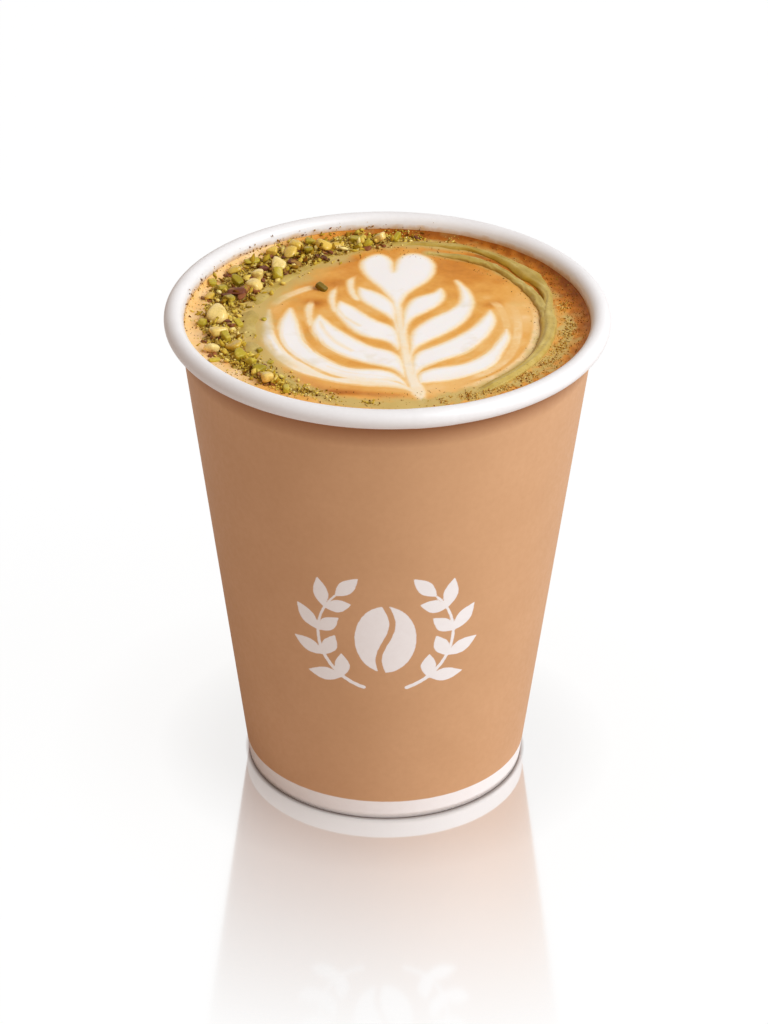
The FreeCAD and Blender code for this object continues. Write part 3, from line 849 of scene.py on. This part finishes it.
def bed_lift(x, y):
    """Height of the bed over the foam, in millimetres: a low arch across the crescent, broken
    up by waves of a few sizes, and nothing beyond its edge."""
    around = np.degrees(np.arctan2(y, x)) % 360
    half = np.interp(around, bed_angles, bed_half, 0, 0) + 1e-6
    away = np.abs(np.hypot(x, y) - np.interp(around, bed_angles, bed_middle)) / half
    away = away + 0.22 * waves(x, y, 3.4, 21) + 0.12 * waves(x, y, 1.5, 22)
    arch = np.sqrt(np.clip(1 - np.clip(away, 0, 1) ** 2, 0, 1)) * np.minimum(half / 2, 1)
    return bed_height * arch * bed_lumps(x, y)


def make_nut_bed():
    """Grid along and across the crescent, lifted by the arch, over a flat underside."""
    along, across = 330, 44
    a = np.linspace(bed_angles[0], bed_angles[-1], along)
    t = np.linspace(-1, 1, across)
    r = np.interp(a, bed_angles, bed_middle)[:, None] + t * np.interp(a, bed_angles, bed_half)[:, None] * 1.25
    r = np.minimum(r, wall_r - 0.8)
    x, y = r * np.cos(np.radians(a))[:, None], r * np.sin(np.radians(a))[:, None]
    ground = foam_height(x, y)
    up = ground - 0.04 + bed_lift(x, y)
    top = np.stack([x, y, up], -1).reshape(-1, 3)
    low = np.stack([x, y, ground - 0.3], -1).reshape(-1, 3)
    points = np.vstack([top, low]) * mm + np.array([0, 0, drink_level])
    size = along * across
    quads = grid_faces(along, across)
    j, i = np.arange(across), np.arange(along) * across
    rim = np.concatenate([j[:-1], i[:-1] + across - 1, (size - 1 - j)[:-1], i[::-1][:-1]])
    next_rim = np.roll(rim, -1)
    wall = np.stack([rim, next_rim, next_rim + size, rim + size], -1)
    faces = [quads[:, ::-1], quads + size, wall]
    # How deep in a hollow each point lies, for the painted shade in the bed's material
    deep = np.tile(1 - bed_lumps(x, y).ravel(), 2)
    return make_piece("nut_bed", points, faces, {"deep": deep})


def nut_material(name, stops, patches, share, gloss, shine):
    """Chopped pistachio: each piece has its own colour by the number kept on it, with patches
    of another tissue, such as dark skin or green rim, and a fine grain."""
    material, tree, shader, place = new_material(
        name, Roughness=gloss, Specular_IOR_Level=shine, Subsurface_Weight=0.08,
        Subsurface_Radius=(1, 0.9, 0.4), Subsurface_Scale=0.4 * mm)
    own = ramp(tree, kept_value(tree, "own"), stops)
    patch = noise_on(tree, place, 650, 2, 0.6)
    grain = noise_on(tree, place, 3000, 2)
    colour = blended(tree, spread(tree, patch, 0.54, 0.66, 0, share), own, patches)
    colour = blended(tree, spread(tree, grain, 0.4, 0.75, 0, 0.22), colour, shade(130, 90, 14))
    tree.links.new(colour, shader.inputs["Base Color"])
    bump(tree, shader, sums(tree, "ADD", patch, sums(tree, "MULTIPLY", grain, 0.4)), 0.1 * mm, 0.6)
    return material


def bed_material():
    """Ground nut in green cream: olive with yellow, dark green and brown grains, and a painted
    shade of dark brown in its hollows."""
    material, tree, shader, place = new_material(
        "ground pistachio", Roughness=0.55, Specular_IOR_Level=0.1)
    grains = add(tree, "TexVoronoi", {"Vector": place, "Scale": 2200.0})
    pick = add(tree, "SeparateColor", {0: grains.outputs["Color"]}).outputs[0]
    colour = ramp(tree, pick, [
        (0.0, 112, 74, 14), (0.15, 168, 132, 46), (0.45, 198, 164, 76),
        (0.78, 216, 186, 102), (0.92, 190, 154, 60), (1.0, 128, 76, 20),
    ])
    # Painted shade: dark brown in the bed's hollows
    painted_hollow_shade = spread(tree, kept_value(tree, "deep"), 0.25, 0.75, 0, 0.85)
    colour = blended(tree, painted_hollow_shade, colour, shade(88, 44, 4))
    tree.links.new(colour, shader.inputs["Base Color"])
    bump(tree, shader, grains.outputs["Distance"], 0.25 * mm, 0.8)
    return material


nut_bed = make_nut_bed()
nut_bed.data.materials.append(bed_material())
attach(nut_bed, "root")
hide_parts("chopped_pistachio")

# Chopped nuts. Halves, quarters and smaller chips of pistachio kernel, some with dark skin on,
# strewn along the crescent. Sizes across and places are in millimetres.
kernels = [
    (-30.2, 1.2, 4.3, 0.9), (-30.0, -5.5, 3.4, 0.82), (-31.0, -11.3, 2.9, 0.95), (-27.0, -10.4, 3.2, 0.5),
    (-21.0, -22.4, 2.7, 0.8), (-11.9, 28.6, 3.5, 0.7), (-17.0, 28.9, 3.4, 0.66), (-9.3, 30.2, 2.6, 0.55),
    (-19.6, 20.7, 3.4, 0.92), (-23.6, 17.1, 2.8, 0.88), (-28.0, 19.1, 3.0, 0.6), (-24.0, 13.1, 3.0, 0.85),
    (-1.2, 31.9, 2.8, 0.9), (-17.8, 25.7, 2.8, 0.72), (-32.2, 9.5, 2.4, 0.6), (-21.2, 26.5, 2.4, 0.7),
]
green_pieces = [
    (-26.0, -13.9, 2.4, 0.5), (-24.0, -16.3, 2.1, 0.6), (-22.4, -18.8, 1.9, 0.3), (-6.0, 32.2, 2.3, 0.5),
    (-20.0, 17.3, 2.1, 0.5), (-28.4, 7.6, 2.2, 0.4), (-31.6, 14.7, 2.0, 0.55), (-14.6, 27.0, 2.2, 0.3),
    (-24.8, 22.9, 2.0, 0.55), (-26.6, -1.1, 1.7, 0.6), (-33.0, -1.2, 1.9, 0.4), (-30.4, -14.5, 1.6, 0.7),
    (-3.8, 30.1, 1.7, 0.5), (-27.4, 14.6, 2.2, 0.3), (-20.6, -15.3, 1.2, 0.5), (-17.6, -25.2, 1.8, 0.6),
    (-12.0, 13.0, 1.7, 0.05), (-22.0, 1.3, 1.0, 0.4), (-22.5, -10.8, 1.1, 0.3), (-29.8, 11.9, 2.1, 0.4),
    (-5.6, 29.1, 1.6, 0.35), (1.6, 33.2, 1.5, 0.5), (-28.6, -7.4, 1.9, 0.55), (-14.2, 31.0, 1.8, 0.4),
]
skin_pieces = [
    (-27.4, 10.1, 2.9, 0.4), (-25.6, 11.6, 2.2, 0.6), (-29.0, 9.1, 2.0, 0.3), (-26.4, 9.0, 1.8, 0.7),
    (-17.0, 22.6, 1.9, 0.2), (-11.5, 24.7, 1.6, 0.1), (-12.8, 25.5, 1.1, 0.2), (-4.0, 29.5, 1.6, 0.6),
    (-28.0, -2.2, 1.8, 0.5), (-24.6, 16.2, 1.5, 0.4), (-22.6, 19.9, 1.6, 0.3), (-21.6, -17.9, 1.3, 0.5),
    (-22.4, -20.3, 1.1, 0.7), (5.4, 33.7, 1.3, 0.3), (-19.0, 19.6, 1.5, 0.3), (-32.4, -7.7, 1.1, 0.4),
]


def ball(rows, columns):
    """Unit directions on rings between two poles, and the triangles that join them."""
    tilt = math.pi * (np.arange(rows) + 1) / (rows + 1)
    turn = 2 * math.pi * np.arange(columns) / columns
    x, y = np.outer(np.sin(tilt), np.cos(turn)), np.outer(np.sin(tilt), np.sin(turn))
    z = np.outer(np.cos(tilt), np.ones(columns))
    rings = np.stack([x, y, z], -1).reshape(-1, 3)
    quads = grid_faces(rows, columns, False, True)[:, ::-1]
    j, k, last = np.arange(columns), (np.arange(columns) + 1) % columns, (rows - 1) * columns
    top = np.stack([np.full(columns, rows * columns), j, k], -1)
    low = np.stack([np.full(columns, rows * columns + 1), last + k, last + j], -1)
    faces = np.vstack([quads[:, [0, 1, 2]], quads[:, [0, 2, 3]], top, low])
    return np.vstack([rings, [[0, 0, 1], [0, 0, -1]]]), faces


def chopped(rows, columns, sizes, sharpness, flatness, length, tumble, chance):
    """Chips round the origin. Each is cut by ten planes, six of them square to each other: in a
    direction it reaches out to the soft least of the planes' distances along that direction.
    Each chip is stretched by up to the length, leant by a bell-shaped angle and spun."""
    directions, faces = ball(rows, columns)
    count = len(sizes)
    square = np.vstack([np.eye(3), -np.eye(3)])[None].repeat(count, 0)
    slanted = chance.normal(size=(count, 4, 3))
    slanted /= np.linalg.norm(slanted, axis=2)[..., None]
    normals = np.concatenate([square, slanted], 1)
    depth = np.concatenate([chance.uniform(0.72, 1.0, (count, 6)), chance.uniform(0.55, 1.0, (count, 4))], 1)
    facing = np.clip(np.einsum("vk,npk->nvp", directions, normals), 0, None) / depth[:, None, :]
    reach = (facing**sharpness).sum(2) ** (-1 / sharpness)
    stretch = chance.uniform(1, length, count)
    shape = np.stack([stretch, 1 / stretch**0.5, flatness * chance.uniform(0.7, 1.2, count)], -1)
    chips = directions[None] * reach[..., None] * shape[:, None, :]
    chips *= (np.asarray(sizes) / 2)[:, None, None]
    turn, leant = chance.uniform(0, 2 * math.pi, count), chance.normal(0, tumble, count)
    c, s, ca, sa = np.cos(turn), np.sin(turn), np.cos(leant), np.sin(leant)
    zero, one = np.zeros(count), np.ones(count)
    tip = np.stack([ca, zero, -sa, zero, one, zero, sa, zero, ca], -1).reshape(-1, 3, 3)
    spin = np.stack([c, -s, zero, s, c, zero, zero, zero, one], -1).reshape(-1, 3, 3)
    return np.einsum("nij,njk,nvk->nvi", spin, tip, chips), faces


def resting(places, chips):
    """Middles of chips that lie on the foam or the bed at their places: the lowest point of each
    is a little under that surface."""
    x, y = places[:, 0], places[:, 1]
    low = chips[:, :, 2].min(1)
    sunk = np.minimum(0.25 * (chips[:, :, 2].max(1) - low), 0.25)
    return np.stack([x, y, foam_height(x, y) + bed_lift(x, y) - low - sunk], -1)


def joined_chips(name, middles, chips, faces, own, material):
    """One mesh of all the chips, each moved to its middle and keeping its own number."""
    points = (chips + middles[:, None, :]).reshape(-1, 3) * mm + np.array([0, 0, drink_level])
    size = chips.shape[1]
    joined = (faces[None] + np.arange(len(chips))[:, None, None] * size).reshape(-1, 3)
    made = make_piece(name, points, [joined], {"own": np.repeat(own, size)})
    made.data.materials.append(material)
    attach(made, "root")


def add_nuts(name, table, sharpness, flatness, length, material, seed):
    """One strewn mesh of the larger pieces of a kind."""
    chance = np.random.default_rng(seed)
    chips, faces = chopped(15, 22, table[:, 2], sharpness, flatness, length, 0.3, chance)
    joined_chips(name, resting(table[:, :2], chips), chips, faces, table[:, 3], material)


def shadow_flakes(pieces, chance):
    """Dark flakes of skin put as painted shadow against the larger pieces: two on the near side
    of each, where their shadow falls, each a third of its size."""
    x, y, size, _ = np.repeat(pieces, 2, axis=0).T
    side = np.radians(chance.uniform(205, 320, len(x)))
    reach = size * chance.uniform(0.45, 0.62, len(x))
    own = chance.uniform(0.15, 0.8, len(x))
    return np.stack([x + reach * np.cos(side), y + reach * np.sin(side), 0.4 + 0.24 * size, own], -1)


kernel_stops = [(0.0, 192, 148, 30), (0.5, 214, 172, 54), (0.7, 232, 190, 74),
                (0.9, 248, 216, 130), (1.0, 251, 226, 152)]
green_stops = [(0.0, 104, 80, 8), (0.3, 160, 138, 26), (0.6, 198, 174, 48),
               (1.0, 228, 198, 84)]
skin_stops = [(0.0, 72, 32, 14), (0.4, 116, 62, 44), (0.7, 150, 88, 52),
              (1.0, 184, 124, 58)]
kernel_material = nut_material("pistachio kernel", kernel_stops, shade(208, 174, 66), 0.45, 0.26, 0.4)
green_material = nut_material("pistachio green", green_stops, shade(214, 186, 74), 0.8, 0.35, 0.25)
skin_material = nut_material("pistachio skin", skin_stops, shade(186, 140, 58), 0.7, 0.45, 0.15)
# The skins are the listed skin pieces and dark flakes put beside each kernel as painted shadow
skins_and_shadow_flakes = np.vstack([skin_pieces, shadow_flakes(np.array(kernels), np.random.default_rng(34))])
add_nuts("nut_kernels", np.array(kernels), 5, 0.72, 1.2, kernel_material, 31)
add_nuts("nut_greens", np.array(green_pieces), 10, 0.7, 1.6, green_material, 32)
add_nuts("nut_skins_and_shadow_flakes", skins_and_shadow_flakes, 9, 0.5, 1.5, skin_material, 33)

# Crumbs. What the chopping leaves: chips of a millimetre down to dust, thick on the crescent,
# thinner in a band near the wall at the right, and stray on the foam and the wall.


def scatter_band(count, angles, radii, spreads, clump, chance):
    """Places along a band round the cup, its radius and spread given at a few angles. Twice as
    many are drawn, and those where a slow unevenness is high are kept, so that they gather."""
    a = chance.uniform(angles[0], angles[-1], 2 * count)
    r = np.interp(a, angles, radii) + chance.normal(0, 1, 2 * count) * np.interp(a, angles, spreads)
    places = polar(a, np.clip(r, 0, wall_r - 0.4))
    favour = clump * waves(places[:, 0], places[:, 1], 4.5, 19) + chance.normal(0, 1, 2 * count)
    favour -= 2.5 * (rise(a, angles[-1] - 34, angles[-1]) + rise(a, angles[0] + 14, angles[0]))
    return places[np.argsort(-favour)[:count]]


def add_crumbs(name, places, sizes, stops, patches, seed):
    """One strewn mesh of small flakes of sixteen faces each."""
    chance = np.random.default_rng(seed)
    chips, faces = chopped(2, 4, sizes, 8, 0.6, 1.9, 0.6, chance)
    material = nut_material(name.replace("_", " "), stops, patches, 0.5, 0.5, 0.06)
    own = chance.uniform(0, 1, len(places))
    joined_chips(name, resting(places, chips), chips, faces, own, material)


chip_count = 270
fine_count = 3000
band_count = 1500
dust_count = 1100
band_dust_count = 700
wall_count = 300
crumb_chance = np.random.default_rng(40)
crumb_stops = [(0.0, 84, 38, 2), (0.18, 132, 80, 10), (0.32, 186, 148, 38),
               (0.58, 214, 180, 68), (0.82, 238, 204, 96), (1.0, 252, 228, 150)]
chip_spreads = bed_half * 0.52 + 0.2
chip_places = scatter_band(chip_count, bed_angles, bed_middle, chip_spreads, 1.2, crumb_chance)
chip_sizes = crumb_chance.uniform(0.8, 1.7, chip_count)
add_crumbs("chip_crumbs", chip_places, chip_sizes, crumb_stops, shade(186, 172, 50), 41)
crescent_angles = np.array([68, 80, 95, 110, 135, 160, 190, 215, 240, 268])
crescent_radii = np.array([34.8, 34.2, 33.2, 32.0, 30.8, 30.4, 30.2, 29.7, 29.6, 30.4])
crescent_spreads = np.array([0.5, 0.9, 1.7, 2.5, 2.9, 2.6, 2.2, 1.7, 1.2, 0.8])
fine_places = scatter_band(fine_count, crescent_angles, crescent_radii, crescent_spreads, 1.3, crumb_chance)
fine_sizes = 0.2 + 0.55 * crumb_chance.power(0.4, fine_count)
add_crumbs("fine_crumbs", fine_places, fine_sizes, crumb_stops, shade(176, 146, 44), 42)
band_places = scatter_band(band_count, band_angles, band_radii, band_spreads, 2.2, crumb_chance)
band_sizes = 0.14 + 0.34 * crumb_chance.power(0.35, band_count)
band_stops = [(0.0, 120, 58, 8), (0.22, 176, 110, 32), (0.5, 206, 158, 66),
              (0.75, 220, 180, 88), (1.0, 242, 208, 126)]
add_crumbs("band_crumbs", band_places, band_sizes, band_stops, shade(186, 140, 56), 43)
dust_angles = crumb_chance.uniform(0, 360, dust_count)
dust_angles = np.append(dust_angles, crumb_chance.triangular(-50, 30, 100, band_dust_count))
dust_radii = np.sqrt(crumb_chance.uniform(0.5, 0.99, dust_count))
dust_radii = np.append(dust_radii, crumb_chance.uniform(0.88, 0.99, band_dust_count))
dust_places = polar(dust_angles, wall_r * dust_radii)
dust_sizes = 0.12 + 0.2 * crumb_chance.power(0.5, dust_count + band_dust_count)
dust_stops = [(0.0, 96, 46, 6), (0.5, 150, 86, 20), (0.8, 176, 132, 34),
              (1.0, 220, 186, 90)]
add_crumbs("dust", dust_places, dust_sizes, dust_stops, shade(130, 84, 16), 44)


def add_wall_crumbs(count, material, chance):
    """Flakes stuck to the inside of the wall over the crescent, most of them low: each is half a
    flake in from the sloping wall at its own height."""
    a = np.radians(chance.triangular(70, 116, 190, count))
    sizes = 0.16 + 0.38 * chance.power(0.4, count)
    up = np.minimum(chance.exponential(0.5, count), 2.2) + 0.25
    chips, faces = chopped(2, 4, sizes, 8, 0.6, 1.9, 1.2, chance)
    r = on_slope((drink_level + up * mm) / math.cos(lean), -paper)[:, 0] / mm - 0.3 * sizes
    middles = np.stack([r * np.cos(a), r * np.sin(a), up], -1)
    joined_chips("wall_crumbs", middles, chips, faces, chance.uniform(0, 1, count), material)


wall_material = nut_material("wall crumbs", dust_stops, shade(196, 160, 60), 0.5, 0.5, 0.06)
add_wall_crumbs(wall_count, wall_material, np.random.default_rng(45))

# Floor. A wide sheet of glossy white board: it takes the cup's soft shadow and mirrors it
# below the foot, and the mirror image runs out towards the front. Round the foot a soft
# shadow is painted into its glow, and a dark contact line into its glow and its mirror's colour.
floor_half = 1.6
foot_edge = foot_radius + wrap_gap + wrap_paper
# Width and colour of a painted contact shadow at the edge of the foot
painted_contact_width = 0.9 * mm
painted_contact_shadow = (0.36, 0.25, 0.21, 1)
# Where each change starts and ends, as distances from under the middle of the cup: the
# painted soft shadow round the foot, the fade to plain white further out, and the mirror image
painted_shadow_reach = (0.025, 0.043)
far_reach = (0.03, 0.062)
mirror_reach = (0.022, 0.1)
mirror_share = 0.62


def make_floor():
    """Flat square with its top at the height of the foot."""
    corners = np.array([[-1, -1, 0], [1, -1, 0], [1, 1, 0], [-1, 1, 0]]) * floor_half
    floor = make_piece("floor", corners, [np.array([[0, 1, 2, 3]])])
    material, tree, shader, place = new_material("glossy white floor", Roughness=0.6)
    tree.nodes.remove(shader)
    seen = add(tree, "LightPath").outputs["Is Camera Ray"]
    away = add(tree, "VectorMath", {0: place}, operation="LENGTH").outputs["Value"]
    far = spread(tree, away, *far_reach)
    dull = blended(tree, far, (0.16, 0.155, 0.15, 1), (0.03, 0.03, 0.03, 1))
    board = blended(tree, seen, (0.78, 0.72, 0.68, 1), dull)
    paint = add(tree, "BsdfDiffuse", {"Color": board}).outputs[0]
    # Painted soft shadow: the glow is weaker round the foot and rises to white further out
    glow_with_painted_shadow = spread(tree, away, *painted_shadow_reach, 0.6, 0.84)
    glow_with_painted_shadow = sums(tree, "ADD", glow_with_painted_shadow, sums(tree, "MULTIPLY", far, 0.14))
    # Painted contact shadow: a dark line at the foot's edge, in the glow's colour and in the mirror's colour
    clear = spread(tree, away, foot_edge, foot_edge + painted_contact_width)
    mirror_tint_with_painted_contact = blended(tree, clear, painted_contact_shadow, (1, 0.99, 0.98, 1))
    strength = sums(tree, "MULTIPLY", seen, glow_with_painted_shadow)
    glow_tint_with_painted_contact = blended(tree, clear, painted_contact_shadow, (1, 1, 1, 1))
    glow = add(tree, "Emission", {"Color": glow_tint_with_painted_contact, "Strength": strength})
    lit = add(tree, "AddShader", {0: paint, 1: glow.outputs[0]}).outputs[0]
    mirror = add(tree, "BsdfGlossy", {"Color": mirror_tint_with_painted_contact, "Roughness": 0.08}).outputs[0]
    share = spread(tree, away, *mirror_reach, mirror_share, 0)
    share = sums(tree, "MULTIPLY", share, seen)
    both = add(tree, "MixShader", {0: share, 1: lit, 2: mirror}).outputs[0]
    tree.links.new(both, tree.nodes["Material Output"].inputs["Surface"])
    floor.data.materials.append(material)
    return floor


make_floor()

# Light. An even surround, a little warm, and one broad soft lamp from the right, the front and
# above. The surround shows white to the camera and in gloss.
surround = 0.42
surround_tint = (1, 0.81, 0.7, 1)
lamp_place = (0.78, -0.42, 0.92)
lamp_aim = (0, 0, 0.06)
lamp_size = 0.8
lamp_power = 14.9
lamp_colour = (0.88, 1.0, 1.1)


def light_world():
    """Surround that lights evenly and shows as white in view and in reflections."""
    world = bpy.data.worlds.new("white surround")
    world.use_nodes = True
    bpy.context.scene.world = world
    tree = world.node_tree
    path = add(tree, "LightPath").outputs
    seen = sums(tree, "MAXIMUM", path["Is Camera Ray"], path["Is Glossy Ray"])
    seen = sums(tree, "MAXIMUM", seen, path["Is Transmission Ray"])
    strength = spread(tree, seen, 0, 1, surround, 1)
    tree.links.new(strength, tree.nodes["Background"].inputs["Strength"])
    tint = blended(tree, seen, surround_tint, (1, 1, 1, 1))
    tree.links.new(tint, tree.nodes["Background"].inputs["Color"])


def add_key_lamp():
    """Square soft lamp that faces the middle of the cup."""
    lamp = bpy.data.lights.new("key lamp", "AREA")
    lamp.size = lamp_size
    lamp.energy = lamp_power
    lamp.color = lamp_colour
    holder = bpy.data.objects.new("key lamp", lamp)
    holder.location = lamp_place
    way = Vector(lamp_aim) - Vector(lamp_place)
    holder.rotation_euler = way.to_track_quat("-Z", "Y").to_euler()
    bpy.context.scene.collection.objects.link(holder)


light_world()
add_key_lamp()

# Camera. A long lens a little under a metre away, looking half down into the cup.
camera_place = (-0.0004, -0.7832, 0.4993)
camera_tilt = math.radians(60.17)
camera_roll = math.radians(0.333)
lens_length = 173.6

camera_data = bpy.data.cameras.new("camera")
camera_data.lens = lens_length
camera_data.sensor_width = 36
camera_data.clip_end = 10
camera = bpy.data.objects.new("camera", camera_data)
turned_to = Matrix.Rotation(camera_tilt, 4, "X") @ Matrix.Rotation(camera_roll, 4, "Z")
camera.matrix_world = Matrix.Translation(camera_place) @ turned_to
bpy.context.scene.collection.objects.link(camera)
bpy.context.scene.camera = camera
bpy.context.scene.view_settings.view_transform = "Standard"
